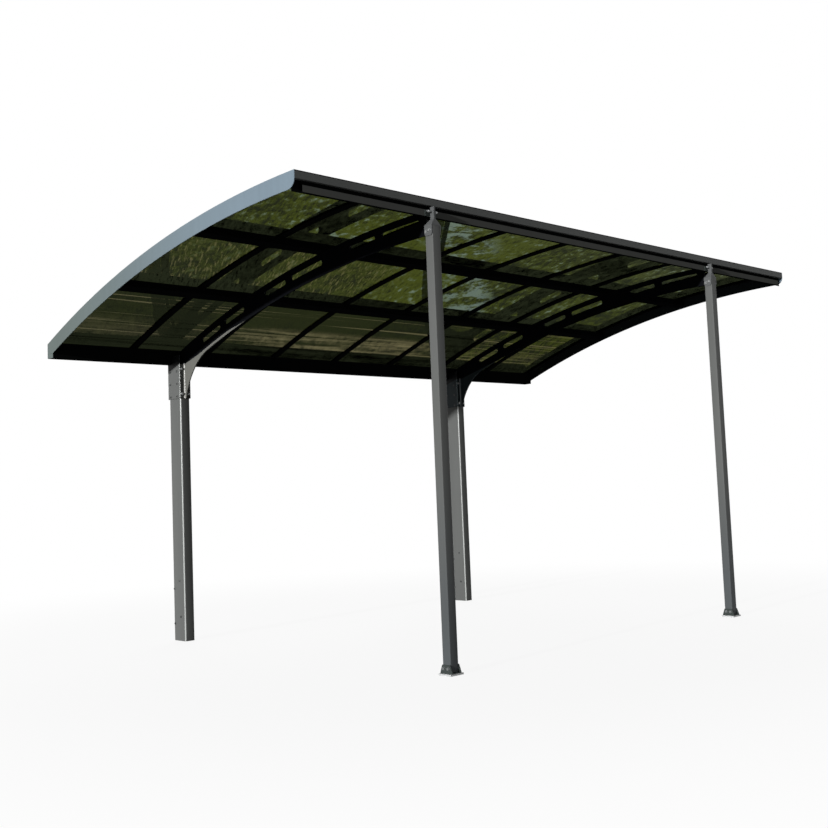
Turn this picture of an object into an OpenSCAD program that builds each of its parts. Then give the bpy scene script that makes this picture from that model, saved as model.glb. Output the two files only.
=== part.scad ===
// Arched single-slope carport: two stout rear posts with curved slotted arms,
// two slim front props, end arches, purlins, glazing bars and tinted roof sheets.
// Length runs along X, the high front edge faces -Y, the gutter faces +Y.

/* [Roof] */
// Overall length of the roof, over the end arches
roof_len = 5000; // [4200:10:5800]
// Horizontal run from the front edge to the outer side of the gutter
roof_run = 2900; // [2500:10:3200]
// Radius of the lower edge of the end arches
roof_r = 7800; // [6800:10:9500]
// Height of the top of the roof at its front edge
front_h = 2700; // [2500:10:3000]
// Thickness of a roof sheet
sheet_t = 5.7; // [4:0.1:10]
// Clearance between pieces that sit on each other
seat = 0.3; // [0.2:0.05:0.5]

/* [End arches] */
// Radial depth of an end arch
arch_depth = 95; // [85:1:120]
// Thickness of its outer face
arch_face_t = 4; // [3:0.5:6]
// Inward reach of its corner
arch_reach = 55; // [40:1:70]
// Thickness of the shelf under the sheet
arch_lip_t = 4; // [3:0.5:6]
// Thickness of the caps that hold the sheets down
cap_t = 13; // [10:0.5:16]
// Inward reach of the shelf under the sheet
shelf_reach = 26; // [15:1:35]
// Corner radius at the front end
arch_nose_r = 55; // [20:1:70]

/* [Glazing bars] */
// Width of a glazing bar
bar_w = 50; // [36:1:70]
// Thickness of its two flanges
bar_lip_t = 6; // [4:0.5:8]
// Thickness of its web
bar_web_t = 6; // [4:0.5:10]
// Distance from the ends of the bars to the outer side of the gutter
bar_stop = 40; // [25:1:60]
// Distance from the ends of the sheets to the outer side of the gutter
sheet_stop = 35; // [20:1:60]

/* [Purlins] */
// Width of a purlin
purlin_w = 78; // [60:1:110]
// Depth of a purlin
purlin_h = 47; // [35:1:60]
// Wall of a purlin
purlin_wall = 3; // [2:0.5:5]
// Distance from the front edge to the middle of the upper purlin
purlin_front = 1005; // [900:5:1100]
// Distance from the gutter's outer side to the middle of the lower purlin
purlin_rear = 990; // [900:5:1100]

/* [Gutter] */
// Width of the gutter
gutter_w = 80; // [70:1:110]
// Height of its outer wall
gutter_h = 72; // [50:1:80]
// Wall of the gutter
gutter_wall = 3; // [2:0.5:4]
// Thickness of its end caps
gutter_cap_t = 3; // [2:0.5:5]

/* [Front edge] */
// Height of the front trim
trim_h = 45; // [38:1:60]
// Depth of the front trim
trim_d = 45; // [35:1:60]
// Wall of the front trim
trim_wall = 4; // [3:0.5:6]
// Depth of the lower lip of the front trim
trim_foot = 30; // [28:1:34]
// Height of the recess between trim and beam
recess_h = 25; // [15:1:40]
// Height of the front beam
beam_h = 38; // [32:1:60]
// Depth of the front beam
beam_d = 25; // [22:1:60]
// Set-back of the front beam behind the trim
beam_set = 10; // [6:1:20]
// Wall of the front beam
beam_wall = 3; // [2:0.5:5]

/* [Arms] */
// Distance between the two arms
arm_span = 2910; // [2400:10:3400]
// Shift of both arms along the roof
arm_shift = -75; // [-200:5:200]
// Depth of an arm
arm_depth = 138; // [120:1:165]
// Thickness of the arm's web
arm_web_t = 8; // [5:1:12]
// Width of the arm's upper flange
arm_flange_w = 44; // [30:1:72]
// Thickness of the upper flange and of the root plate
arm_flange_t = 5; // [3:0.5:8]
// Radius of the fillet between post and arm
arm_fillet_r = 480; // [440:5:520]
// Reach of the web at the foot of the root plate
arm_heel = 15; // [13:1:25]
// Radius of the bend between web and root plate
arm_bend_r = 12; // [8:1:12]
// Height of a slot
slot_h = 36; // [24:1:46]
// Distance from the arm's lower edge to the middle of the slots
slot_mid = 86; // [70:1:95]
// Length of a long slot, in percent of the distance between the purlins
slot_long_share = 36.5; // [30:0.5:40]
// Length of a short slot, in percent of the distance between the purlins
slot_short_share = 26.5; // [20:0.5:29]
// Web left between the slots of a pair
slot_web = 65; // [45:1:90]
// Step where the side of a slot meets its round end
slot_step = 0.1; // [0.05:0.05:0.5]
// Start of the first slot behind the front beam
slot_start = 65; // [30:1:80]

/* [Rear posts] */
// Width of a rear post along the roof
post_w = 78; // [74:1:100]
// Depth of a rear post across the roof
post_d = 154; // [130:1:180]
// Wall of a rear post
post_wall = 3; // [2:0.5:5]
// Distance from the rear face of the post to the outer side of the gutter
post_set = 29; // [15:1:45]
// Thickness of the sleeve plates
sleeve_t = 5; // [3:0.5:8]
// Length of the sleeve below the gutter
sleeve_low = 265; // [245:5:340]
// Height of the sleeve cheeks beside the gutter
sleeve_head = 60; // [40:1:75]
// Height of the anchor inside the post foot
anchor_h = 470; // [100:5:600]
// Thickness of the anchor plates
anchor_t = 6; // [4:0.5:10]
// Diameter of the anchor's bolt holes
anchor_hole = 14; // [10:1:20]

/* [Front props] */
// Width of a square prop
prop_w = 62; // [50:1:80]
// Wall of a prop
prop_wall = 3; // [2:0.5:5]
// Reach of the prop's front face in front of the roof edge
prop_out = 36; // [30:1:50]
// Gap between the prop's top and the front beam
prop_gap = 60; // [40:1:80]
// Thickness of the head fork
fork_t = 5; // [3:0.5:8]
// Lap of the head fork down the prop
fork_lap = 58; // [45:1:90]
// Cut corners of the fork's cheeks
fork_cut = 12; // [6:1:20]
// Distance from the top of the head's neck to the front beam
neck_gap = 18; // [10:1:30]
// Width of the tab on the neck
tab_t = 12; // [8:1:20]
// Depth of the tab
tab_d = 30; // [22:1:34]
// Ledge of the neck around the tab
tab_ledge = 1; // [0.5:0.5:3]
// Distance from the tab's top to the front trim
tab_gap = 10; // [5:1:20]
// Width of the lug plate on the front beam
lug_w = 88; // [70:1:130]
// Thickness of the lug plate
lug_t = 6; // [4:0.5:8]
// Drop of the plate's top below the beam's top
lug_drop = 4; // [2:1:10]
// Height of the foot bracket's cheeks
foot_h = 48; // [35:1:70]
// Thickness of the foot bracket
foot_t = 5; // [3:0.5:8]
// Flare of the cheeks at each side of the foot
foot_flare = 16; // [8:1:25]
// Side of the square base plate
base_w = 100; // [96:1:140]
// Thickness of the base plate
base_t = 10; // [6:1:20]

/* [Hidden] */
$fn = 96;
arc_fn = 720;
big = 400;
bays = 8;
pitch = roof_len / bays;
half_len = roof_len / 2;
inner_len = half_len - arch_face_t - seat;

// Centre line of the roof's arc, below the front edge
arc_z = front_h - arch_depth - roof_r;
r_top = roof_r + arch_depth;
r_cap = r_top - cap_t;
r_sheet_top = r_cap - seat;
r_sheet = r_sheet_top - sheet_t;
r_shelf = r_sheet - seat;
r_bar = r_shelf - bar_lip_t;
r_purlin_top = r_bar - seat;
r_purlin = r_purlin_top - purlin_h;
r_arm_top = r_purlin - seat;
r_arm = r_arm_top - arm_depth;
r_slot = r_arm + slot_mid;

// Front edge levels
trim_z = front_h - trim_h;
beam_top = trim_z - recess_h;
beam_z = beam_top - beam_h;
beam_rear = beam_set + beam_d;
beam_len = half_len - arch_reach - arch_face_t - seat;

// Eave levels
gutter_z = arc_z + sqrt(roof_r * roof_r - roof_run * roof_run);
gutter_in = roof_run - gutter_w;
eave_z = arc_z + sqrt(roof_r * roof_r - gutter_in * gutter_in);
gutter_lip_y = gutter_in + gutter_wall;
gutter_lip_z = arc_z + sqrt(r_bar * r_bar - gutter_lip_y * gutter_lip_y) - seat;
gutter_len = inner_len - gutter_cap_t - seat;

// Rear post and arm root
post_front = roof_run - post_set - post_d;
post_top = gutter_z - seat;
root_y = post_front - seat - arm_flange_t;
heel_y = root_y - arm_heel;
heel_z = post_top - sleeve_low;
heel_d = norm([heel_y, heel_z - arc_z]);
fillet_d = r_arm - arm_fillet_r;
heel_cos = (fillet_d * fillet_d + heel_d * heel_d - arm_fillet_r * arm_fillet_r) / (2 * fillet_d * heel_d);
fillet_t = atan2(heel_y, heel_z - arc_z) - acos(heel_cos);
fillet_y = fillet_d * sin(fillet_t);
fillet_z = arc_z + fillet_d * cos(fillet_t);
fillet_edge = r_arm * sin(fillet_t) + arm_heel;
fillet_top = arc_z + r_arm * cos(fillet_t) + 2 * arm_flange_t;
arm_front = beam_rear + seat;
arm_rear = gutter_in - seat;
purlin_rear_y = roof_run - purlin_rear;
slot_long = (purlin_rear_y - purlin_front) * slot_long_share / 100;
slot_short = (purlin_rear_y - purlin_front) * slot_short_share / 100;

// Prop stations
prop_front = -prop_out;
prop_mid = prop_front + prop_w / 2;
prop_top = beam_z - prop_gap;
prop_z = base_t + foot_t + seat;
fork_z = prop_top + seat;
bridge_top = fork_z + fork_t;
neck_top = beam_z - neck_gap;
lug_y = beam_set - seat - lug_t;
tab_rear = lug_y - seat;
tab_front = tab_rear - tab_d;

// Middle of the whole part across the roof
mid_y = (prop_mid - base_w / 2 + roof_run) / 2;
arm_x = [arm_shift - arm_span / 2, arm_shift + arm_span / 2];

paint = [0.27, 0.28, 0.29];
tint = [0.28, 0.27, 0.16, 0.7];
zinc = [0.72, 0.73, 0.74];

// Places geometry drawn from the front edge so that the part is centred
module place() {
    translate([0, -mid_y, 0]) children();
}

// Angle on radius r of the station y behind the front edge
function turn(r, y) = asin(y / r);

// Block bent along an arc about the X direction, from angle a to angle b
module bent(r1, r2, x1, x2, a, b, y = 0, z = arc_z) {
    translate([0, y, z]) rotate([0, 90, 0]) rotate([0, 0, 180 - b])
        rotate_extrude(angle = b - a, $fn = arc_fn)
            translate([r1, x1]) square([r2 - r1, x2 - x1]);
}

// Profile drawn in the Y-Z plane and run along X
module run(x1, x2) {
    translate([x1, 0, 0]) rotate([90, 0, 90]) linear_extrude(x2 - x1) children();
}

// Cylinder along X
module rod(r, x1, x2, y, z) {
    translate([x1, y, z]) rotate([0, 90, 0]) cylinder(r = r, h = x2 - x1);
}

// End arch on the -X side: face, shelf under the sheet and cap over it
module arch_half() {
    front_a = turn(roof_r, trim_d + seat);
    shelf_b = turn(r_shelf, gutter_in - seat);
    x1 = -half_len;
    x2 = x1 + arch_face_t;
    difference() {
        union() {
            bent(roof_r, r_top, x1, x2, 0, turn(roof_r, roof_run) + 1);
            bent(r_shelf - arch_lip_t, r_shelf, x1, x2 + shelf_reach, front_a, shelf_b);
            bent(r_cap, r_top, x1, x2 + arch_reach - bar_w / 4, front_a, turn(roof_r, roof_run) + 1);
        }
        translate([x1 - 1, roof_run, gutter_z - big]) cube([big, big, 2 * big]);
        translate([x1 - 1, gutter_in, eave_z - big]) cube([big, big, big]);
        difference() {
            translate([x1 - 1, -1, arc_z + roof_r - 1])
                cube([arch_face_t + 2, arch_nose_r + 1, arch_nose_r + 1]);
            rod(arch_nose_r, x1 - 2, x2 + 2, arch_nose_r, arc_z + roof_r + arch_nose_r);
        }
    }
}

module arch_near() {
    color(paint) place() arch_half();
}

module arch_far() {
    color(paint) place() mirror([1, 0, 0]) arch_half();
}

// Front trim: outer wall, cap over the sheets, shelf under them and lower lip
module front_trim() {
    shelf_z = arc_z + sqrt(r_sheet * r_sheet - trim_d * trim_d) - seat;
    color(paint) place() run(-inner_len, inner_len) union() {
        translate([0, trim_z]) square([trim_wall, trim_h]);
        translate([0, front_h - cap_t]) square([trim_d, cap_t]);
        translate([0, shelf_z - trim_wall]) square([trim_d, trim_wall]);
        translate([0, trim_z]) square([trim_foot, trim_wall]);
    }
}

// Front beam: box tube with an upstand that carries the trim, and a rear wall
// that runs up to the glazing bars and out to both end arches
module front_beam() {
    wall_top = arc_z + sqrt(r_bar * r_bar - beam_rear * beam_rear) - seat;
    color(paint) place() union() {
        run(-beam_len, beam_len) {
            difference() {
                translate([beam_set, beam_z]) square([beam_d, beam_h]);
                translate([beam_set + beam_wall, beam_z + beam_wall])
                    square([beam_d - 2 * beam_wall, beam_h - 2 * beam_wall]);
            }
            translate([trim_foot - trim_wall - beam_wall, beam_top - beam_wall])
                square([trim_wall, recess_h + beam_wall - seat]);
        }
        run(-inner_len, inner_len)
            translate([beam_rear - beam_wall, beam_z]) square([beam_wall, wall_top - beam_z]);
    }
}

// Purlin: tube between the end arches, bent to the roof's arc
module purlin(y) {
    a = turn(r_purlin, y - purlin_w / 2);
    b = turn(r_purlin, y + purlin_w / 2);
    w = turn(r_purlin, purlin_wall);
    difference() {
        bent(r_purlin, r_purlin_top, -inner_len, inner_len, a, b);
        bent(r_purlin + purlin_wall, r_purlin_top - purlin_wall, -half_len, half_len, a + w, b - w);
    }
}

module purlin_upper() {
    color(paint) place() purlin(purlin_front);
}

module purlin_lower() {
    color(paint) place() purlin(purlin_rear_y);
}

// Gutter floor, between the end caps
module gutter_floor() {
    color(paint) place() run(-gutter_len, gutter_len)
        translate([gutter_in, gutter_z]) square([gutter_w, gutter_wall]);
}

// Inner gutter wall, which stands on the floor and carries the bars
module gutter_inner() {
    color(paint) place() run(-gutter_len, gutter_len)
        translate([gutter_in, gutter_z + gutter_wall])
            square([gutter_wall, gutter_lip_z - gutter_z - gutter_wall]);
}

// Outer gutter wall, which stands on the floor
module gutter_outer() {
    color(paint) place() run(-gutter_len, gutter_len)
        translate([roof_run - gutter_wall, gutter_z + gutter_wall])
            square([gutter_wall, gutter_h - gutter_wall]);
}

// Gutter end cap, flush with the face of the end arch where it shows under it
module gutter_cap() {
    translate([-inner_len, gutter_in, gutter_z]) cube([gutter_cap_t, gutter_w, gutter_h]);
    translate([-half_len, gutter_in, gutter_z])
        cube([half_len - inner_len + gutter_cap_t, gutter_w, eave_z - seat - gutter_z]);
}

module gutter_cap_near() {
    color(paint) place() gutter_cap();
}

module gutter_cap_far() {
    color(paint) place() mirror([1, 0, 0]) gutter_cap();
}

// Glazing bar number i: an H section bent to the roof's arc
module bar(i) {
    x = i * pitch - half_len;
    a = turn(r_bar, trim_d + seat);
    b = turn(r_bar, roof_run - bar_stop);
    color(paint) place() union() {
        bent(r_bar, r_shelf, x - bar_w / 2, x + bar_w / 2, a, b);
        bent(r_bar, r_cap + bar_lip_t, x - bar_web_t / 2, x + bar_web_t / 2, a, b);
        bent(r_cap, r_cap + bar_lip_t, x - bar_w / 2, x + bar_w / 2, a, b);
    }
}

// Roof sheet number i, between two bars or a bar and an end arch
module sheet(i) {
    side = bar_web_t / 2 + seat;
    x1 = i == 1 ? -inner_len : (i - 1) * pitch - half_len + side;
    x2 = i == bays ? inner_len : i * pitch - half_len - side;
    a = turn(r_sheet, trim_wall + seat);
    b = turn(r_sheet, roof_run - sheet_stop);
    color(tint) place() bent(r_sheet, r_sheet_top, x1, x2, a, b);
}

// Slot with round ends that follows the arm's arc
module slot(y, len) {
    a = turn(r_slot, y + slot_h / 2);
    b = turn(r_slot, y + len - slot_h / 2);
    half = slot_h / 2 - slot_step;
    bent(r_slot - half, r_slot + half, -arm_web_t, arm_web_t, a, b);
    for (t = [a, b])
        rod(slot_h / 2, -arm_web_t, arm_web_t, r_slot * sin(t), arc_z + r_slot * cos(t));
}

// Two slots one behind the other
module slot_pair(y, first) {
    slot(y, first);
    slot(y + first + slot_web, slot_short);
}

// Bend between web and root plate, on the +X side of the web
module root_bend() {
    w = arm_web_t / 2;
    translate([w - 1, root_y - arm_bend_r, heel_z]) difference() {
        cube([arm_bend_r + 1, arm_bend_r + 1, post_top - heel_z]);
        translate([arm_bend_r + 1, 0, -1]) cylinder(r = arm_bend_r - slot_step, h = sleeve_low + 2);
    }
}

// Arm: slotted web with a curved upper flange, fillet at the post and root plate
module arm(x) {
    w = arm_web_t / 2;
    g = w + 2 * slot_step;
    f = arm_flange_w / 2;
    a = turn(r_arm, arm_front) - 0.3;
    b = turn(r_arm, arm_rear) + 1;
    color(paint) place() translate([x, 0, 0]) {
        difference() {
            union() {
                bent(r_arm, r_arm_top, -w, w, a, b);
                bent(r_arm_top - arm_flange_t, r_arm_top, -f, f, a, b);
                difference() {
                    translate([-g, fillet_edge, heel_z])
                        cube([2 * g, root_y + arm_flange_t - fillet_edge, fillet_top - heel_z]);
                    rod(arm_fillet_r, -w - 1, w + 1, fillet_y, fillet_z);
                }
                translate([-post_w / 2, root_y, heel_z])
                    cube([post_w, arm_flange_t, post_top - heel_z]);
                root_bend();
                mirror([1, 0, 0]) root_bend();
            }
            slot_pair(arm_front + slot_start, slot_long);
            slot_pair(purlin_front + slot_start / 4, slot_long);
            slot_pair(purlin_rear_y, slot_short);
            translate([-big, arm_front - big, arc_z + r_arm - big]) cube([2 * big, big, 3 * big]);
            translate([-big, arm_rear, gutter_z - 2 * big]) cube([2 * big, big, 4 * big]);
            translate([-big, post_front - seat, gutter_z - big]) cube([2 * big, big, big]);
        }
    }
}

module arm_near() {
    arm(arm_x[0]);
}

module arm_far() {
    arm(arm_x[1]);
}

// Sleeve: rear plate and two cheeks that clasp the post and reach up beside the gutter
module sleeve(x) {
    in = post_w / 2 + seat;
    out = in + sleeve_t;
    z1 = post_top - sleeve_low;
    rear = post_front + post_d + seat;
    color(paint) place() translate([x, 0, 0]) difference() {
        union() {
            translate([-out, root_y, z1]) cube([2 * out, rear + sleeve_t - root_y, post_top - z1]);
            translate([-out, root_y, post_top - 1]) cube([2 * out, arm_rear - root_y, sleeve_head + 1]);
        }
        translate([-in, root_y - 1, z1 - 1]) cube([2 * in, rear - root_y + 1, sleeve_low + sleeve_head + 2]);
    }
}

module sleeve_near() {
    sleeve(arm_x[0]);
}

module sleeve_far() {
    sleeve(arm_x[1]);
}

// Rear post: rectangular tube
module post(x) {
    color(paint) place() translate([x, post_front, 0]) difference() {
        translate([-post_w / 2, 0, 0]) cube([post_w, post_d, post_top]);
        translate([-post_w / 2 + post_wall, post_wall, -1])
            cube([post_w - 2 * post_wall, post_d - 2 * post_wall, post_top + 2]);
    }
}

module post_near() {
    post(arm_x[0]);
}

module post_far() {
    post(arm_x[1]);
}

// Anchor: channel inside the foot of a rear post, with two bolt holes
module anchor(x) {
    w = post_w - 2 * post_wall - 2 * seat;
    d = post_d - 2 * post_wall - 2 * seat;
    color(zinc) place() translate([x, post_front + post_d / 2, 0]) difference() {
        translate([-w / 2, -d / 2, 0]) cube([w, d, anchor_h]);
        translate([-w / 2 + anchor_t, -d / 2 - 1, anchor_t]) cube([w - 2 * anchor_t, d + 2, anchor_h]);
        for (s = [-1, 1]) translate([0, s * d / 4, -1]) cylinder(d = anchor_hole, h = anchor_t + 2);
    }
}

module anchor_near() {
    anchor(arm_x[0]);
}

module anchor_far() {
    anchor(arm_x[1]);
}

// Front prop: square tube
module prop(x) {
    color(paint) place() translate([x, prop_mid, prop_z]) difference() {
        translate([-prop_w / 2, -prop_w / 2, 0]) cube([prop_w, prop_w, prop_top - prop_z]);
        translate([-prop_w / 2 + prop_wall, -prop_w / 2 + prop_wall, -1])
            cube([prop_w - 2 * prop_wall, prop_w - 2 * prop_wall, prop_top - prop_z + 2]);
    }
}

module prop_near() {
    prop(arm_x[0]);
}

module prop_far() {
    prop(arm_x[1]);
}

// Side outline of the head's neck
module neck_side() {
    polygon([
        [prop_front, fork_z], [prop_front + prop_w, fork_z], [prop_front + prop_w, bridge_top],
        [tab_rear + tab_ledge, neck_top], [tab_front - tab_ledge, neck_top], [prop_front, bridge_top]
    ]);
}

// Front outline of the head's neck
module neck_front(out) {
    polygon([
        [-out, fork_z], [out, fork_z], [out, bridge_top],
        [tab_t / 2 + tab_ledge, neck_top], [-tab_t / 2 - tab_ledge, neck_top], [-out, bridge_top]
    ]);
}

// Head: fork over the prop's top, with a neck that tapers to a tab beside the lug
module head(x) {
    in = prop_w / 2 + seat;
    out = in + fork_t;
    rear = prop_front + prop_w;
    low = prop_top - fork_lap;
    color(paint) place() translate([x, 0, 0]) union() {
        for (s = [-out, in]) run(s, s + fork_t) polygon([
            [prop_front, bridge_top], [prop_front, low + fork_cut], [prop_front + fork_cut, low],
            [rear - fork_cut, low], [rear, low + fork_cut], [rear, bridge_top]
        ]);
        intersection() {
            run(-out, out) neck_side();
            translate([0, rear, 0]) rotate([90, 0, 0]) linear_extrude(prop_w) neck_front(out);
        }
        translate([-tab_t / 2, tab_front, neck_top - 1])
            cube([tab_t, tab_d, trim_z - tab_gap - neck_top + 1]);
    }
}

module head_near() {
    head(arm_x[0]);
}

module head_far() {
    head(arm_x[1]);
}

// Lug: plate on the front beam that the tab is bolted to
module lug(x) {
    color(paint) place() translate([x - lug_w / 2, lug_y, beam_z])
        cube([lug_w, lug_t, beam_h - lug_drop]);
}

module lug_near() {
    lug(arm_x[0]);
}

module lug_far() {
    lug(arm_x[1]);
}

// Foot bracket: leaf under the prop with two flared cheeks
module foot(x) {
    in = prop_w / 2 + seat;
    out = in + foot_t;
    y1 = prop_front;
    y2 = prop_front + prop_w;
    color(paint) place() translate([x, 0, base_t]) {
        for (s = [-out, in]) run(s, s + foot_t) polygon([
            [y1 - foot_flare, 0], [y2 + foot_flare, 0], [y2 + foot_flare, foot_t],
            [y2, foot_h], [y1, foot_h], [y1 - foot_flare, foot_t]
        ]);
        translate([-out, y1 - foot_flare, 0]) cube([2 * out, prop_w + 2 * foot_flare, foot_t]);
    }
}

module foot_near() {
    foot(arm_x[0]);
}

module foot_far() {
    foot(arm_x[1]);
}

// Base plate under a foot bracket
module base(x) {
    color(zinc) place()
        translate([x - base_w / 2, prop_mid - base_w / 2, 0]) cube([base_w, base_w, base_t]);
}

module base_near() {
    base(arm_x[0]);
}

module base_far() {
    base(arm_x[1]);
}

arch_near();
arch_far();
front_trim();
front_beam();
purlin_upper();
purlin_lower();
gutter_floor();
gutter_inner();
gutter_outer();
gutter_cap_near();
gutter_cap_far();
bar(1);  // bar_1
bar(2);  // bar_2
bar(3);  // bar_3
bar(4);  // bar_4
bar(5);  // bar_5
bar(6);  // bar_6
bar(7);  // bar_7
sheet(1);  // sheet_1
sheet(2);  // sheet_2
sheet(3);  // sheet_3
sheet(4);  // sheet_4
sheet(5);  // sheet_5
sheet(6);  // sheet_6
sheet(7);  // sheet_7
sheet(8);  // sheet_8
arm_near();
arm_far();
sleeve_near();
sleeve_far();
post_near();
post_far();
anchor_near();
anchor_far();
prop_near();
prop_far();
head_near();
head_far();
lug_near();
lug_far();
foot_near();
foot_far();
base_near();
base_far();
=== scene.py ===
# %% [markdown]
# # A carport with an arched roof
# The carport's solids come from CAD and stay as a fixed frame. This lesson gives
# them their finishes, adds the rounded tubes and the fasteners that the solids leave
# out, and sets up a plain studio with the camera where the picture was taken from.

# %% Load the fixed frame
import math

import bpy
from mathutils import Matrix, Vector


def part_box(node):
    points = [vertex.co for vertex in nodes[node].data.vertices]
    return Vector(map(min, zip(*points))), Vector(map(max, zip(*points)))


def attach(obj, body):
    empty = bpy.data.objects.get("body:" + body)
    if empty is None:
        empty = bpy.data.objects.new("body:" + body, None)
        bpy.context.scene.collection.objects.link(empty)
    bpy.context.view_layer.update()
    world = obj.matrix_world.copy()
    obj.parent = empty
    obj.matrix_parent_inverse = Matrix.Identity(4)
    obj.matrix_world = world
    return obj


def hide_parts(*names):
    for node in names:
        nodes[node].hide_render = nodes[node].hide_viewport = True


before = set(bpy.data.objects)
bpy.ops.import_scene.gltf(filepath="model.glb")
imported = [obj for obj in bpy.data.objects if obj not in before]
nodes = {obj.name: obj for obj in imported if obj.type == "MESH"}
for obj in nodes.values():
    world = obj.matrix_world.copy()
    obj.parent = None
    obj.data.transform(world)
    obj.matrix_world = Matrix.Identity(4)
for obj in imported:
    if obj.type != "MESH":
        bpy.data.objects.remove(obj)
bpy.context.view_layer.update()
scene = bpy.context.scene

# %% [markdown]
# ## The camera
# The viewpoint was worked out from the roof's corners and the feet of the posts. The
# camera's own axes are written down, which is exact and shorter than three angles.
# The small shift puts the lens axis where the picture's perspective has it.

# %% Camera at the photograph's place
PICTURE_SIDE = 828
FOCAL_PIXELS = 1098.83
AXIS_PIXEL = (446.56, 395.34)
EYE = Vector((-5.852, -5.8859, 1.0317))
EYE_RIGHT = Vector((0.71535, -0.69751, -0.04204))
EYE_UP = Vector((-0.02885, -0.08959, 0.99557))
EYE_AHEAD = Vector((0.69817, 0.71097, 0.08420))
SENSOR_MM = 36

camera_data = bpy.data.cameras.new("photo_camera")
camera_data.sensor_width = SENSOR_MM
camera_data.lens = FOCAL_PIXELS * SENSOR_MM / PICTURE_SIDE
camera_data.shift_x = 0.5 - AXIS_PIXEL[0] / PICTURE_SIDE
camera_data.shift_y = AXIS_PIXEL[1] / PICTURE_SIDE - 0.5
camera_data.clip_end = 300
camera = bpy.data.objects.new("photo_camera", camera_data)
scene.collection.objects.link(camera)
turn = Matrix((EYE_RIGHT, EYE_UP, -EYE_AHEAD)).transposed()
camera.matrix_world = Matrix.Translation(EYE) @ turn.to_4x4()
scene.camera = camera
scene.view_settings.view_transform = "Standard"
print("lens", round(camera_data.lens, 2), "mm")

# %% [markdown]
# ## Shader sums written as expressions
# Masks and tints are easier to read as sums than as a web of nodes. This small class
# wraps a socket, so that 1 - mask adds the Math node by itself. Every other node comes
# from its one method: type, settings, then the values or links of its sockets.

# %% The signal class
class Signal:
    def __init__(self, tree, socket=None):
        self.tree = tree
        self.socket = socket

    def node(self, kind, settings=None, inputs=None, output=0):
        made = self.tree.nodes.new(kind)
        for key, value in (settings or {}).items():
            setattr(made, key, value)
        for key, value in (inputs or {}).items():
            if isinstance(value, Signal):
                self.tree.links.new(value.socket, made.inputs[key])
            else:
                made.inputs[key].default_value = value
        socket = made.outputs[output] if len(made.outputs) else None
        return Signal(self.tree, socket)

    def math(self, operation, first, second):
        return self.node("ShaderNodeMath", {"operation": operation}, {0: first, 1: second})

    def __add__(self, other):
        return self.math("ADD", self, other)

    def __radd__(self, other):
        return self.math("ADD", other, self)

    def __sub__(self, other):
        return self.math("SUBTRACT", self, other)

    def __rsub__(self, other):
        return self.math("SUBTRACT", other, self)

    def __mul__(self, other):
        return self.math("MULTIPLY", self, other)

    def __rmul__(self, other):
        return self.math("MULTIPLY", other, self)

    def larger(self, other):
        return self.math("MAXIMUM", self, other)

    def smaller(self, other):
        return self.math("MINIMUM", self, other)

    def size(self):
        return self.math("ABSOLUTE", self, 0.0)

    def root(self):
        return self.math("SQRT", self, 0.0)

    def ease(self, low, high):
        return self.node("ShaderNodeMapRange", {"interpolation_type": "SMOOTHSTEP"},
                         {"Value": self, "From Min": low, "From Max": high})

    def part(self, axis):
        return self.node("ShaderNodeSeparateXYZ", {}, {0: self}, "XYZ".index(axis))

    def stretched(self, scale):
        return self.node("ShaderNodeMapping", {}, {"Vector": self, "Scale": scale})

    def slanted(self, grain, turn):
        angles = (0.0, 0.0, math.radians(turn))
        return self.node("ShaderNodeMapping", {"vector_type": "TEXTURE"},
                         {"Vector": self, "Rotation": angles, "Scale": grain})

    def noise(self, scale, detail=2.0, roughness=0.5):
        return self.node("ShaderNodeTexNoise", {},
                         {"Vector": self, "Scale": scale, "Detail": detail, "Roughness": roughness})

    def blend(self, first, second):
        settings = {"data_type": "RGBA", "blend_type": "MIX"}
        return self.node("ShaderNodeMix", settings, {0: self, 6: first, 7: second}, 2)

    def shading(self, colour):
        settings = {"data_type": "RGBA", "blend_type": "MULTIPLY"}
        return self.node("ShaderNodeMix", settings, {0: 1.0, 6: colour, 7: self}, 2)


def rgb(red, green, blue):
    return (red, green, blue, 1.0)


def new_finish(name):
    material = bpy.data.materials.new(name)
    material.use_nodes = True
    material.node_tree.nodes.clear()
    start = Signal(material.node_tree)
    place = start.node("ShaderNodeTexCoord", {}, {}, "Object")
    return material, start, place


print("signal class ready")

# %% [markdown]
# ## The studio
# The picture shows the carport on plain white, in low light from its near end. A
# sun lamp does the same: it reaches under the roof only near the ground, which keeps
# the underside dark. A second lamp behind shapes the sides that the camera doesn't see,
# and is kept out of gloss, where it would show as a disc on the roof.
# Rays from the camera, from gloss and through glass find a white room, while the
# light that spreads inside the room is lower, so no face is washed out. A wrapped
# panorama could light the scene too, but it would tint the grey coats.

# %% World and lamps
ROOM_LIGHT = 0.22
SUN_TRAVEL, SUN_POWER, SUN_SPREAD = (1.0, 0.12, -0.13), 3.4, 1.5
REAR_TRAVEL, REAR_POWER, REAR_SPREAD = (-0.5, -0.6, -0.62), 1.1, 40.0
WHITE = rgb(1, 1, 1)


def seen_rays(start):
    camera_ray = start.node("ShaderNodeLightPath", {}, {}, "Is Camera Ray")
    outputs = camera_ray.socket.node.outputs
    glossy_ray = Signal(start.tree, outputs["Is Glossy Ray"])
    through_ray = Signal(start.tree, outputs["Is Transmission Ray"])
    return camera_ray.larger(glossy_ray).larger(through_ray)


world = bpy.data.worlds.new("white_room")
scene.world = world
world.use_nodes = True
world.node_tree.nodes.clear()
room = Signal(world.node_tree)
room_strength = ROOM_LIGHT + seen_rays(room) * (1.0 - ROOM_LIGHT)
room_glow = room.node("ShaderNodeBackground", {}, {"Color": WHITE, "Strength": room_strength})
room.node("ShaderNodeOutputWorld", {}, {"Surface": room_glow})


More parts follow.
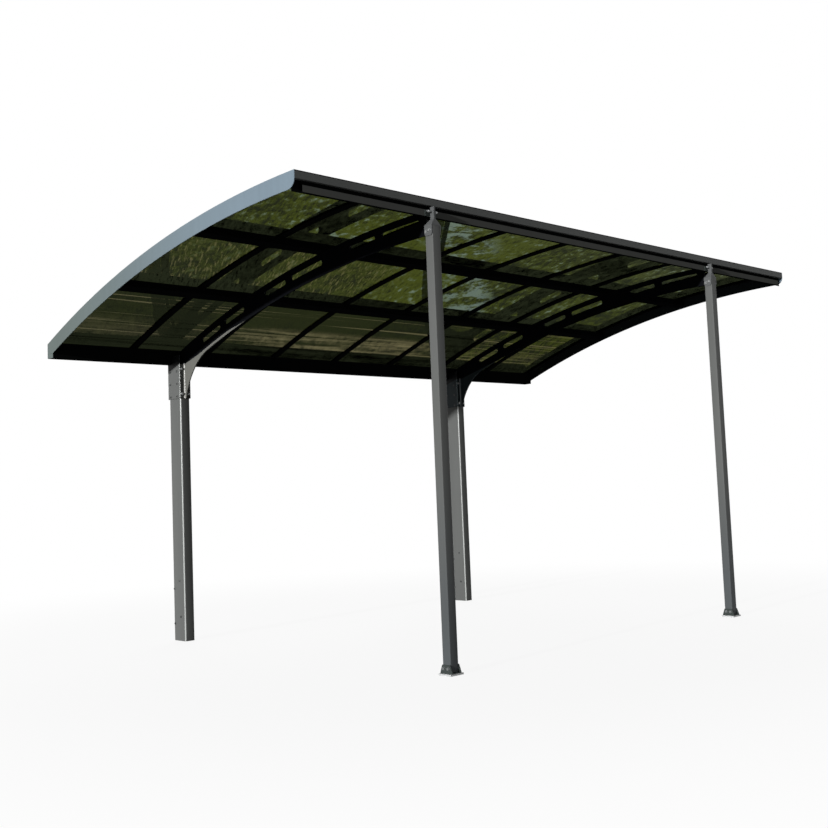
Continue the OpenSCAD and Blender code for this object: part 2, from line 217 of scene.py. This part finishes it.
def sun_lamp(name, travel, strength, spread):
    data = bpy.data.lights.new(name, "SUN")
    data.energy = strength
    data.angle = math.radians(spread)
    lamp = bpy.data.objects.new(name, data)
    scene.collection.objects.link(lamp)
    lamp.rotation_euler = Vector(travel).to_track_quat("-Z", "Y").to_euler()
    return lamp


low_sun = sun_lamp("low_sun", SUN_TRAVEL, SUN_POWER, SUN_SPREAD)
rear_fill = sun_lamp("rear_fill", REAR_TRAVEL, REAR_POWER, REAR_SPREAD)
rear_fill.visible_glossy = False
print("lamps", low_sun.name, rear_fill.name)

# %% [markdown]
# The floor is one large plane just under the feet. It is white to the eye and to
# gloss, keeps a faint shadow near the feet, and fades into the white room farther out,
# so that no horizon shows. To spread light it is a dull grey, which keeps the
# underside of the roof dark. A backdrop with a curved foot would do the same from one
# side, while the plane works from all sides.

# %% The studio floor
FLOOR_PALE = rgb(0.9, 0.9, 0.9)
FLOOR_BOUNCE = rgb(0.25, 0.25, 0.25)
FLOOR_WHITE_SHARE = 0.9
FADE_FROM, FADE_TO = 2.5, 7.0
FLOOR_HALF, FLOOR_DROP = 90.0, 0.0005

bpy.ops.object.select_all(action="DESELECT")
bpy.ops.mesh.primitive_plane_add(size=2 * FLOOR_HALF, location=(0, 0, -FLOOR_DROP))
floor = bpy.context.object
floor.name = "studio_floor"
floor_finish, ground, ground_place = new_finish("studio_floor")
seen = seen_rays(ground)
reach = ground_place.node("ShaderNodeVectorMath", {"operation": "LENGTH"}, {0: ground_place}, 1)
fade = FLOOR_WHITE_SHARE + reach.ease(FADE_FROM, FADE_TO) * (1.0 - FLOOR_WHITE_SHARE)
pale = ground.node("ShaderNodeBsdfDiffuse", {}, {"Color": FLOOR_PALE})
bounce = ground.node("ShaderNodeBsdfDiffuse", {}, {"Color": FLOOR_BOUNCE})
white = ground.node("ShaderNodeEmission", {}, {"Color": WHITE, "Strength": 1.0})
shown = ground.node("ShaderNodeMixShader", {}, {0: fade, 1: pale, 2: white})
surface = ground.node("ShaderNodeMixShader", {}, {0: seen, 1: bounce, 2: shown})
ground.node("ShaderNodeOutputMaterial", {}, {"Surface": surface})
floor.data.materials.append(floor_finish)
print("floor", round(floor.dimensions.x), "m wide")

# %% [markdown]
# ## Powder coat
# The frame is aluminium with a satin powder coat. Close up, such a coat has a fine
# orange peel, broad cloudy patches and faint marks where rain ran down. One colour
# would look like bare plastic, so three noises vary the tone, the gloss and the bump.
# A Bevel node rounds the folded edges of the CAD plates, as the coat does, and shows
# where they are, so that they come out a little paler, a painted highlight of edges
# catching the light. On the corner turned to -x and -y, toward the low sun, a painted
# glint lightens the tone and a coat adds gloss, which gives the line of light that
# runs down the posts and sleeves, and faintly along the arms.

# %% The coat's recipe
EDGE_ROUND = 0.0025
CLOUD_SCALE, PEEL_SCALE = 1.7, 650.0
STREAK_STRETCH = (24.0, 24.0, 0.9)
PEEL_DEPTH = 0.0004


def powder_coat(name, tone_at, gloss, satin, edge_highlight_gain,
                edge_round=EDGE_ROUND, glint_gain=0.0):
    material, start, place = new_finish(name)
    cloud = place.noise(CLOUD_SCALE, 3.0)
    streak = place.stretched(STREAK_STRETCH).noise(1.0, 2.0)
    peel = place.noise(PEEL_SCALE, 1.0)
    rounded = start.node("ShaderNodeBevel", {"samples": 4}, {"Radius": edge_round})
    facing = start.node("ShaderNodeNewGeometry", {}, {}, "Normal")
    along = start.node("ShaderNodeVectorMath", {"operation": "DOT_PRODUCT"},
                       {0: rounded, 1: facing}, 1)
    # Paler edges are a painted highlight where the edges catch the light.
    edge = (1.0 - along).ease(0.02, 0.3)
    # Painted glint: the corner turned to -x and -y, toward the low sun, is lightened and gets the
    # coat.
    corner = (0.0 - rounded.part("X")).smaller(0.0 - rounded.part("Y")).ease(0.15, 0.5)
    shade = 0.84 + cloud * 0.2 + streak * 0.12 + edge * edge_highlight_gain + corner * glint_gain
    tone = shade.shading(tone_at(facing, place))
    rough = satin + (cloud - 0.5) * 0.16 + (peel - 0.5) * 0.1
    bump = start.node("ShaderNodeBump", {},
                      {"Height": peel, "Strength": 0.12, "Distance": PEEL_DEPTH, "Normal": rounded})
    polish = {"Coat Weight": corner, "Coat Roughness": 0.3} if glint_gain else {}
    coat = start.node("ShaderNodeBsdfPrincipled", {}, {
        "Base Color": tone, "Roughness": rough, "Normal": bump,
        "Specular IOR Level": gloss, **polish})
    start.node("ShaderNodeOutputMaterial", {}, {"Surface": coat})
    return material


print("coat recipe ready")

# %% [markdown]
# ## Coats of one tone
# The posts are anthracite grey, the purlins and the inside of the gutter painted nearly black, a
# painted shade.
# The forked heads, the lugs and the feet of the props have greys of their own. Each is
# the same recipe with one tone.

# %% Plain coats
GREY = rgb(0.128, 0.132, 0.128)
BLACK = rgb(0.006, 0.0065, 0.007)
FOOT_GREY = rgb(0.042, 0.050, 0.047)
HEAD_GREY = rgb(0.112, 0.116, 0.117)


def plain(colour):
    return lambda facing, place: colour


# The posts carry a painted glint on the corner toward the low sun.
post_coat = powder_coat("coat_post", plain(GREY), 0.08, 0.42, 0.6, glint_gain=2.8)
# Painted shade: the purlins and the inside of the gutter are nearly black.
shade_coat = powder_coat("coat_painted_shade", plain(BLACK), 0.0, 0.6, 0.3)
head_coat = powder_coat("coat_head", plain(HEAD_GREY), 0.1, 0.42, 0.6)
foot_coat = powder_coat("coat_foot", plain(FOOT_GREY), 0.1, 0.45, 0.4)
lug_coat = powder_coat("coat_lug", plain(FOOT_GREY), 0.05, 0.5, 0.6)
print(post_coat.name, shade_coat.name, head_coat.name, foot_coat.name, lug_coat.name)

# %% [markdown]
# ## Coats that change over the roof's frame
# An arch shows a pale blue-grey outer face that turns greyer towards the eave, partly its
# coat and partly a painted sky reflection, and a black inner side, a painted shade. The
# outer face is where x is at either end of the roof, so a mask on x keeps the two tones
# apart, seen from any side. The front beam is grey on its front only, the glazing bars on
# their covers and the gutter on its back; elsewhere the three are black, a painted shade.
# The trim is black along its top. All of this could be painted on UV maps, but masks on
# place and on the way a face looks need none and stay sharp.

# %% Coats of the roof's frame
# The pale blue of the outer face is partly a painted sky reflection.
ARCH_COAT_AND_SKY = rgb(0.203, 0.264, 0.316)
ARCH_EAVE = rgb(0.130, 0.158, 0.150)
ARCH_FACE_X, ARCH_NOSE_Y = (2.4955, 2.4985), (-1.390, -1.380)
BEAM_GREY = rgb(0.088, 0.090, 0.085)
BEAM_STEP_Z, BEAM_STEP_Y = (2.6290, 2.6300), (-1.4100, -1.4080)
TRIM_GREY = rgb(0.118, 0.123, 0.120)
TRIM_DARK_TOP_Z = (2.6930, 2.6950)
COVER_GREY = rgb(0.045, 0.047, 0.047)


def arch_tone(facing, place):
    outside = place.part("X").size().ease(*ARCH_FACE_X)
    nose = 1.0 - place.part("Y").ease(*ARCH_NOSE_Y)
    eave = place.part("Y").ease(-1.4, 1.45)
    # The inner side is black, a painted shade.
    return outside.larger(nose).blend(BLACK, eave.blend(ARCH_COAT_AND_SKY, ARCH_EAVE))


def beam_tone(facing, place):
    # Painted shade: all but the beam's front face is black.
    ahead = (0.0 - facing.part("Y")).ease(0.4, 0.7)
    below = 1.0 - place.part("Z").ease(*BEAM_STEP_Z)
    outer = 1.0 - place.part("Y").ease(*BEAM_STEP_Y)
    return (ahead * below * outer).blend(BLACK, BEAM_GREY)


def bar_tone(facing, place):
    # Painted shade: the bars are black except on their upward covers.
    return facing.part("Z").ease(0.3, 0.6).blend(BLACK, COVER_GREY)


def gutter_tone(facing, place):
    # Painted shade: the gutter is black except on its back.
    return facing.part("Y").ease(0.5, 0.8).blend(BLACK, COVER_GREY)


def trim_tone(facing, place):
    return place.part("Z").ease(*TRIM_DARK_TOP_Z).blend(TRIM_GREY, BLACK)


arch_coat = powder_coat("coat_arch", arch_tone, 0.03, 0.4, 0.2)
beam_coat = powder_coat("coat_beam", beam_tone, 0.0, 0.5, 0.2)
bar_coat = powder_coat("coat_bar", bar_tone, 0.0, 0.5, 0.3)
gutter_coat = powder_coat("coat_gutter", gutter_tone, 0.0, 0.5, 0.3)
trim_coat = powder_coat("coat_trim", trim_tone, 0.06, 0.45, 0.2)
print(arch_coat.name, beam_coat.name, bar_coat.name, gutter_coat.name, trim_coat.name)

# %% [markdown]
# ## Coats of the props, the arms and the sleeves
# The props grow darker downwards. An arm is grey below a slanting line at its root, and
# so is its sleeve. Above that line, where the roof keeps them in the shade, both are
# painted nearly black, a painted shadow, apart from a thin strip of painted sunlight that
# runs out along the near arm's lower edge. The strip follows the arm's arc, so its mask
# is the distance from the arc's centre. The arm's grey is a little lighter than the
# posts', a painted sunlight, and its faces turned to -y are darker, a painted shade. The
# far arm and sleeve stand deeper in the shade and are painted a darker grey, a painted
# shade.

# %% Coats of the props, arms and sleeves
PROP_LOW = rgb(0.082, 0.090, 0.094)
ARM_SHADOW_BLACK = rgb(0.006, 0.0065, 0.008)
ARM_SUNLIT_GREY = rgb(0.160, 0.160, 0.145)
ROOT_FRONT_SHADE = rgb(0.075, 0.077, 0.072)
SHADE_GREY = rgb(0.035, 0.046, 0.050)
SHADOW_LINE_SLOPE, SHADOW_LINE_LEVEL = 0.259, (2.365, 2.372)
ARC_Y, ARC_Z, ARM_RADIUS = -1.4225, -5.195, 7.6841
SUNLIT_STRIP_WIDTH = 0.018
SLEEVE_ROUND = 0.009


def prop_tone(facing, place):
    return place.part("Z").ease(0.0, 1.4).blend(PROP_LOW, GREY)


# Painted shadow: above this slanting line the arms and sleeves are painted black.
def shadow_above_root(place):
    level = place.part("Z") + place.part("Y") * SHADOW_LINE_SLOPE
    return level.ease(*SHADOW_LINE_LEVEL)


# Painted shade: the far arm and sleeve take the darker SHADE_GREY.
def far_end(place):
    return place.part("X").ease(0.0, 0.2)


def sleeve_tone(facing, place):
    # The sleeve is painted black above the shadow line, a painted shadow.
    return shadow_above_root(place).blend(far_end(place).blend(GREY, SHADE_GREY), BLACK)


# Painted sunlight: a thin strip along the near arm's lower edge is kept grey.
def sunlit_strip(facing, place):
    along = place.part("Y") - ARC_Y
    above = place.part("Z") - ARC_Z
    rim = (along * along + above * above).root() - ARM_RADIUS
    width = place.part("Y").ease(0.45, 0.75) * SUNLIT_STRIP_WIDTH
    inside = (width - rim).ease(-0.001, 0.001) * place.part("Y").ease(0.46, 0.50)
    return inside * facing.part("X").size()


def arm_tone(facing, place):
    # Painted shadow above the line; the root below it stays grey.
    root = (1.0 - shadow_above_root(place)) * place.part("Y").ease(0.45, 0.55)
    root = root.larger(sunlit_strip(facing, place) * (1.0 - far_end(place)))
    # Faces turned to -y take a darker painted shade; the lighter grey elsewhere is a painted
    # sunlight.
    ahead = (0.0 - facing.part("Y")).ease(0.9, 0.98)
    grey = far_end(place).blend(ahead.blend(ARM_SUNLIT_GREY, ROOT_FRONT_SHADE), SHADE_GREY)
    return root.blend(ARM_SHADOW_BLACK, grey)


prop_coat = powder_coat("coat_prop", prop_tone, 0.1, 0.42, 0.6)
# The sleeves, strongly, and the arms, faintly, carry a painted glint on the corner toward the low
# sun.
sleeve_coat = powder_coat("coat_sleeve", sleeve_tone, 0.08, 0.42, 0.3, SLEEVE_ROUND, 12.0)
arm_coat = powder_coat("coat_arm", arm_tone, 0.0, 0.6, 0.4, glint_gain=1.0)
print(prop_coat.name, sleeve_coat.name, arm_coat.name)

# %% [markdown]
# ## Smoked roof sheets
# The sheets are plastic with a dark bronze smoke that lets very little light through.
# Seen from below at a low angle they act as dark mirrors: they double the arms, the
# purlins and the bars. What lies below them is a painted reflection, in olive tones that
# grow browner towards the eave. One glossy glass shader would mirror only the white
# studio. So the finish starts from the see-through smoke and lays three weak mirrors over
# it, each with its own tint, whose patterns paint that reflection. A mirror turns white at
# a low angle, so its edge tint is worked out to keep the tint there.

# %% The sheet's body and its mirrors
BODY_SMOKE = rgb(0.034, 0.042, 0.021)
EDGE_SHARE, EDGE_DIP = 0.4627, 0.3685
DROP_SCALE = 240.0
SMOKE_IOR = 1.006
LOW_ROW_Y = (0.40, 0.60)

sheet_finish, sheet_start, sheet_place = new_finish("smoked_sheet")
upside = sheet_start.node("ShaderNodeNewGeometry", {}, {}, "Normal").part("Z").ease(-0.2, 0.2)
drop = sheet_place.noise(DROP_SCALE, 2.0)
low_row = sheet_place.part("Y").ease(*LOW_ROW_Y)
smoke = (drop * (1.0 - low_row * 0.3)).shading(BODY_SMOKE)
sheet_rough = 0.03 + drop.ease(0.62, 0.8) * 0.1
smoke_body = sheet_start.node("ShaderNodeBsdfPrincipled", {}, {
    "Base Color": smoke, "Roughness": sheet_rough, "IOR": SMOKE_IOR,
    "Transmission Weight": 1.0, "Coat Weight": upside * 0.7, "Coat Roughness": 0.04})


def edge_tint(value):
    return 1.0 - EDGE_DIP * (1.0 - value) / (EDGE_SHARE + (1.0 - EDGE_SHARE) * value)


def mirror(tint):
    edge = rgb(*(edge_tint(value) for value in tint[:3]))
    return sheet_start.node("ShaderNodeBsdfPrincipled", {}, {
        "Base Color": tint, "Roughness": sheet_rough, "Metallic": 1.0, "Specular Tint": edge})


print("sheet body ready, edge tint of a fifth", round(edge_tint(0.2), 3))

# %% [markdown]
# The masks are noises of several shapes: broad patches, short flecks and thin strokes
# that slant across the slope, round spots, and long bands and lines along the roof.
# Each is sharpened to the share of the surface that it should cover, and kept to its
# own rows and bays: strokes in the middle row of the near bays, spots in a slanting
# stretch, bands and lines in the low row.

# %% Noises and zones on the sheets
SLANT = -24.0
MIDDLE_ROW_Y, EAVE_Y = (-0.55, -0.40), (0.94, 1.08)

patch = sheet_place.stretched((0.9, 1.5, 1.5)).noise(1.0, 2.0)
fleck = sheet_place.slanted((0.055, 0.095, 0.095), SLANT).noise(1.0, 5.0, 0.66)
stroke = sheet_place.slanted((0.014, 0.10, 0.10), SLANT).noise(1.0, 3.0, 0.6)
band = sheet_place.stretched((1.2, 13.0, 13.0)).noise(1.0, 4.0, 0.6)
line = sheet_place.stretched((0.35, 34.0, 34.0)).noise(1.0, 1.0).ease(0.60, 0.68) * low_row
spot = sheet_place.noise(5.0, 7.0, 0.72).ease(0.49, 0.58)

sheet_x = sheet_place.part("X")
sheet_y = sheet_place.part("Y")
eave_strip = sheet_y.ease(*EAVE_Y)
near_middle = sheet_x.ease(-1.7, -1.1) * (1.0 - sheet_x.ease(-0.25, 0.15))
far_bays = sheet_x.ease(0.6, 1.3)
stroke_zone = sheet_y.ease(*MIDDLE_ROW_Y) * (1.0 - low_row) * (1.0 - sheet_x.ease(-0.9, -0.4))
across = sheet_x - sheet_y
spot_zone = across.ease(-0.30, 0.05) * (1.0 - across.ease(0.30, 0.60))
print("sheet masks use", len(sheet_start.tree.nodes), "nodes")

# %% [markdown]
# Each mirror's share is a sum of these noises within its zones. The mirrors are laid
# one over the other with Mix Shaders, olive first, and only on the underside.

# %% Lay the mirrors over the smoke
# The mirrors' tints and their patterns are a painted reflection of what lies below the roof.
OLIVE_REFLECTION = rgb(0.150, 0.172, 0.072)
PALE_REFLECTION = rgb(0.240, 0.305, 0.270)
BROWN_REFLECTION = rgb(0.228, 0.208, 0.130)

under = 1.0 - upside
olive_sum = fleck * 0.6 + stroke * 0.4 + (patch - 0.5) * 0.5 + near_middle * 0.09
olive_rows = (1.0 - low_row * (0.85 - far_bays * 0.6)) * (1.0 - stroke_zone * 0.3)
olive_share = olive_sum.ease(0.37, 0.64) * olive_rows
fleck_share = (fleck * 0.75 + patch * 0.25).ease(0.54, 0.67) * (1.0 - stroke_zone * 0.8)
pale_share = fleck_share.larger(spot * spot_zone) * (1.0 - low_row)
brown_bays = 0.2 + sheet_x.ease(-1.5, -0.9) * 0.8 - far_bays * 0.75
band_share = (band * 0.55 + fleck * 0.25 + patch * 0.3).ease(0.45, 0.68) * eave_strip * brown_bays
stroke_share = stroke.ease(0.53, 0.66) * stroke_zone * 0.5
brown_share = band_share.larger(line * 0.6).larger(stroke_share)


def lay_over(below, share, above):
    return sheet_start.node("ShaderNodeMixShader", {}, {0: share, 1: below, 2: above})


underside = lay_over(smoke_body, olive_share * under * 0.5, mirror(OLIVE_REFLECTION))
underside = lay_over(underside, pale_share * under * 0.55, mirror(PALE_REFLECTION))
underside = lay_over(underside, brown_share * under * 0.75, mirror(BROWN_REFLECTION))
print("three mirrors laid")

# %% [markdown]
# The upper side has none of the mirrors. It has a polished coat and a thin film of dust
# that the rain has drawn into streaks down the slope.

# %% Dust on the upper side
DUST = rgb(0.330, 0.325, 0.300)

rain = sheet_place.stretched((9.0, 0.8, 0.8)).noise(1.0, 4.0, 0.6)
dust_share = upside * (0.02 + (rain * 0.6 + patch * 0.4).ease(0.42, 0.70) * 0.10)
dust = sheet_start.node("ShaderNodeBsdfPrincipled", {}, {
    "Base Color": (0.7 + drop * 0.6).shading(DUST), "Roughness": 0.9})
sheet_surface = lay_over(underside, dust_share, dust)
sheet_start.node("ShaderNodeOutputMaterial", {}, {"Surface": sheet_surface})
print(sheet_finish.name, "has", len(sheet_start.tree.nodes), "nodes")

# %% [markdown]
# ## Zinc
# The base plates, the hidden anchors and the fasteners are zinc-coated steel: pale,
# dull and spangled in small plates. A Voronoi pattern gives such plates with straight
# edges, which a noise doesn't. The screws and the bolts on the props' feet are darker.

# %% Zinc finishes
SPANGLE_SCALE, STAIN_SCALE = 160.0, 9.0


def zinc(name, tone, metal, satin):
    material, start, place = new_finish(name)
    spangle = start.node("ShaderNodeTexVoronoi", {"feature": "F1"},
                         {"Vector": place, "Scale": SPANGLE_SCALE}, "Color")
    flake = spangle.part("X")
    stain = place.noise(STAIN_SCALE, 3.0)
    shade = 0.82 + flake * 0.14 + stain * 0.14
    coat = start.node("ShaderNodeBsdfPrincipled", {}, {
        "Base Color": shade.shading(tone), "Roughness": satin + flake * 0.12, "Metallic": metal})
    start.node("ShaderNodeOutputMaterial", {}, {"Surface": coat})
    return material


plate_zinc = zinc("zinc_plate", rgb(0.60, 0.61, 0.61), 0.1, 0.42)
bolt_zinc = zinc("zinc_bolt", rgb(0.30, 0.31, 0.31), 0.5, 0.35)
shoe_zinc = zinc("zinc_shoe", rgb(0.15, 0.16, 0.16), 0.4, 0.35)
screw_zinc = zinc("zinc_screw", rgb(0.055, 0.058, 0.058), 0.3, 0.25)
print(plate_zinc.name, bolt_zinc.name, shoe_zinc.name, screw_zinc.name)

# %% [markdown]
# ## Finishes on the CAD pieces
# Each CAD node keeps its shape and takes a finish in its own material slot. The shapes
# could be copied and dressed apart, but then they would no longer follow the CAD.

# %% Dress the nodes
SIDES = ("near", "far")


def dress(finish, names):
    for name in names:
        nodes[name].material_slots[0].material = finish
    print(finish.name, "on", len(names))


def pairs(*stems):
    return [stem + "_" + side for stem in stems for side in SIDES]


dress(arch_coat, pairs("arch", "gutter_cap"))
dress(arm_coat, pairs("arm"))
dress(sleeve_coat, pairs("sleeve"))
dress(post_coat, pairs("post"))
dress(prop_coat, pairs("prop"))
dress(head_coat, pairs("head"))
dress(lug_coat, pairs("lug"))
dress(foot_coat, pairs("foot"))
dress(trim_coat, ["front_trim"])
dress(beam_coat, ["front_beam"])
dress(shade_coat, ["purlin_upper", "purlin_lower", "gutter_floor", "gutter_inner"])
dress(gutter_coat, ["gutter_outer"])
dress(bar_coat, ["bar_%d" % i for i in range(1, 8)])
dress(sheet_finish, ["sheet_%d" % i for i in range(1, 9)])
dress(plate_zinc, pairs("anchor", "base"))

# %% [markdown]
# ## Rounded tubes for the posts and props
# An extruded tube has soft corners, and on this carport they carry a bright line of
# light down every post. A cube is set to the tube's size, its ends are opened, its
# four long edges are bevelled, and Solidify gives it the wall. A bump in the finish
# would only fake the rounding, and would not be in the mesh. The tubes stand
# for the square CAD tubes, at the same place. First come the helpers: one leaves edit
# mode and deselects everything, one picks faces or edges by a test, and one gives a
# finished piece its name, finish and body.

# %% Helpers for modelling
SMOOTH_BELOW = math.radians(35)


def calm():
    if bpy.context.mode != "OBJECT":
        bpy.ops.object.mode_set(mode="OBJECT")
    bpy.ops.object.select_all(action="DESELECT")


def pick(piece, kind, test):
    bpy.ops.object.mode_set(mode="EDIT")
    bpy.ops.mesh.select_mode(type=kind)
    bpy.ops.mesh.select_all(action="DESELECT")
    bpy.ops.object.mode_set(mode="OBJECT")
    mesh = piece.data
    if kind == "FACE":
        for face in mesh.polygons:
            face.select = test(face.center, face.normal)
    else:
        for edge in mesh.edges:
            first, last = (mesh.vertices[i].co for i in edge.vertices)
            edge.select = test((first + last) / 2, (last - first).normalized())
    bpy.ops.object.mode_set(mode="EDIT")


def settle(piece, name, finish):
    calm()
    piece.name = name
    piece.data.name = name
    piece.data.materials.clear()
    piece.data.materials.append(finish)
    piece.select_set(True)
    bpy.context.view_layer.objects.active = piece
    bpy.ops.object.transform_apply(location=True, rotation=True, scale=True)
    bpy.ops.object.shade_smooth_by_angle(angle=SMOOTH_BELOW)
    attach(piece, "root")
    return piece


print("modelling helpers ready")

# %% [markdown]
# The box of the CAD tube gives the size and the place, so the rounded tube always
# fits. Four steps on each corner are enough for a smooth line of light.

# %% Make the four tubes
POST_CORNER, PROP_CORNER, TUBE_WALL = 0.010, 0.005, 0.003
CORNER_STEPS = 4


def rounded_tube(name, node, corner, wall, finish):
    low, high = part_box(node)
    calm()
    bpy.ops.mesh.primitive_cube_add(size=1, location=(low + high) / 2, scale=high - low)
    tube = bpy.context.object
    bpy.ops.object.transform_apply(location=True, rotation=True, scale=True)
    pick(tube, "FACE", lambda middle, normal: abs(normal.z) > 0.9)
    bpy.ops.mesh.delete(type="ONLY_FACE")
    pick(tube, "EDGE", lambda middle, line: abs(line.z) > 0.9)
    bpy.ops.mesh.bevel(offset=corner, segments=CORNER_STEPS, affect="EDGES")
    bpy.ops.object.mode_set(mode="OBJECT")
    shell = tube.modifiers.new("wall", "SOLIDIFY")
    shell.thickness = wall
    shell.offset = -1
    bpy.ops.object.modifier_apply(modifier="wall")
    settle(tube, name, finish)
    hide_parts(node)
    return tube


for side in SIDES:
    post = rounded_tube("post_tube_" + side, "post_" + side, POST_CORNER, TUBE_WALL, post_coat)
    prop = rounded_tube("prop_tube_" + side, "prop_" + side, PROP_CORNER, TUBE_WALL, prop_coat)
    print(side, len(post.data.polygons), len(prop.data.polygons), "faces")

# %% [markdown]
# ## Screws and bolts
# Small pan-head screws hold the sleeves and the hidden anchors, hexagon bolts with
# washers hold the arms' root plates and both ends of the props, and a pin with a nut
# goes through the tab above each prop's head. One of each is modelled at the origin,
# pointing up, and copied to its places with a mesh of its own. Each starts from a
# cylinder, whose rim is then rounded. The pan head also gets a sunk middle by inset
# and extrude.

# %% Model one screw, one bolt and one pin
SCREW_HEAD, SCREW_HIGH = 0.0080, 0.0044
WASHER_R, WASHER_T = 0.0105, 0.0018
HEX_R, HEX_HIGH = 0.0092, 0.0066
HEX_RIM = HEX_HIGH * 0.16
NUT_R = HEX_R * 0.9
PIN_R, PIN_LONG = 0.0050, 0.034
NUT_BASE = PIN_LONG * 0.55
TINY = 1e-5


def drum(sides, radius, base, height):
    calm()
    bpy.ops.mesh.primitive_cylinder_add(vertices=sides, radius=radius, depth=height,
                                        location=(0, 0, base + height / 2))
    bpy.ops.object.transform_apply(location=True, rotation=True, scale=True)
    return bpy.context.object


def round_rim(piece, level, width):
    pick(piece, "EDGE", lambda middle, line: abs(middle.z - level) < TINY and abs(line.z) < 0.1)
    bpy.ops.mesh.bevel(offset=width, segments=3, affect="EDGES")
    bpy.ops.object.mode_set(mode="OBJECT")


def joined(pieces):
    calm()
    for piece in pieces:
        piece.select_set(True)
    bpy.context.view_layer.objects.active = pieces[0]
    bpy.ops.object.join()
    return pieces[0]


def pan_screw():
    screw = drum(20, SCREW_HEAD, 0.0, SCREW_HIGH)
    round_rim(screw, SCREW_HIGH, SCREW_HIGH * 0.6)
    pick(screw, "FACE", lambda middle, normal: normal.z > 0.99 and middle.z > SCREW_HIGH - TINY)
    bpy.ops.mesh.inset(thickness=SCREW_HEAD * 0.12)
    sink = (0, 0, -SCREW_HIGH * 0.45)
    bpy.ops.mesh.extrude_region_move(TRANSFORM_OT_translate={"value": sink})
    bpy.ops.object.mode_set(mode="OBJECT")
    return screw


def hex_bolt():
    washer = drum(28, WASHER_R, 0.0, WASHER_T)
    round_rim(washer, WASHER_T, WASHER_T * 0.4)
    head = drum(6, HEX_R, WASHER_T, HEX_HIGH)
    round_rim(head, WASHER_T + HEX_HIGH, HEX_RIM)
    return joined([washer, head])


def tab_pin():
    shank = drum(20, PIN_R, 0.0, PIN_LONG)
    round_rim(shank, PIN_LONG, PIN_R * 0.2)
    nut = drum(6, NUT_R, NUT_BASE, HEX_HIGH)
    round_rim(nut, NUT_BASE + HEX_HIGH, HEX_RIM)
    return joined([shank, nut])


screw_master = pan_screw()
bolt_master = hex_bolt()
pin_master = tab_pin()
masters = [screw_master, bolt_master, pin_master]
print([len(master.data.polygons) for master in masters], "faces")

# %% [markdown]
# The heads are set on the outer sides of the CAD nodes that carry them, measured from
# the nodes' boxes, so each sits on its plate. Their heights and rows are those of the
# real carport. The copies of one kind on one end are joined to one piece.

# %% Copy the fasteners to their places
SLEEVE_ROWS = (1.797, 1.891, 1.984)
SLEEVE_COLUMNS = (1.329, 1.422)
FOOT_SPOTS = ((1.361, 0.434), (1.433, 0.376), (1.351, 0.175), (1.433, 0.122))
ROOT_ROWS = (1.815, 2.000)
ROOT_OFFSET = 0.027
HEAD_SPOTS = ((-1.4380, 2.506), (-1.4120, 2.501))
TAB_HALF, PIN_AHEAD, PIN_LEVEL = 0.006, 0.010, 2.618
SHOE_SPOTS = ((-1.4450, 0.038), (-1.4100, 0.038))
ROOT_PLATE = 0.0053
LEFT, RIGHT, AHEAD = (-1, 0, 0), (1, 0, 0), (0, -1, 0)
SEAT = 0.0002


def copies(master, name, spots, finish):
    made = []
    for point, axis in spots:
        twin = master.copy()
        twin.data = master.data.copy()
        twist = Vector(axis).to_track_quat("Z", "Y").to_matrix().to_4x4()
        twin.data.transform(Matrix.Translation(Vector(point) + Vector(axis) * SEAT) @ twist)
        scene.collection.objects.link(twin)
        made.append(twin)
    return settle(joined(made), name, finish)


def cheek_spots(node, places):
    low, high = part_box(node)
    left = [((low.x, y, z), LEFT) for y, z in places]
    right = [((high.x, y, z), RIGHT) for y, z in places]
    return left + right


def root_spots(post):
    low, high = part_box(post)
    middle = (low.x + high.x) / 2
    columns = (middle - ROOT_OFFSET, middle + ROOT_OFFSET)
    return [((x, low.y - ROOT_PLATE, z), AHEAD) for x in columns for z in ROOT_ROWS]


def pin_spots(lug):
    low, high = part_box(lug)
    middle = (low.x + high.x) / 2
    sides = ((middle - TAB_HALF, LEFT), (middle + TAB_HALF, RIGHT))
    return [((x, low.y - PIN_AHEAD, PIN_LEVEL), axis) for x, axis in sides]


sleeve_places = [(y, z) for y in SLEEVE_COLUMNS for z in SLEEVE_ROWS]
for side in SIDES:
    sleeve_spots = cheek_spots("sleeve_" + side, sleeve_places)
    anchor_spots = cheek_spots("post_" + side, FOOT_SPOTS)
    head_spots = cheek_spots("head_" + side, HEAD_SPOTS)
    shoe_spots = cheek_spots("foot_" + side, SHOE_SPOTS)
    copies(screw_master, "sleeve_screws_" + side, sleeve_spots, screw_zinc)
    copies(screw_master, "anchor_screws_" + side, anchor_spots, screw_zinc)
    copies(bolt_master, "head_bolts_" + side, head_spots, bolt_zinc)
    copies(bolt_master, "shoe_bolts_" + side, shoe_spots, shoe_zinc)
    copies(bolt_master, "root_bolts_" + side, root_spots("post_" + side), bolt_zinc)
    copies(pin_master, "tab_pins_" + side, pin_spots("lug_" + side), bolt_zinc)
    print(side, "fasteners in place")

calm()
for master in masters:
    master.select_set(True)
bpy.ops.object.delete()
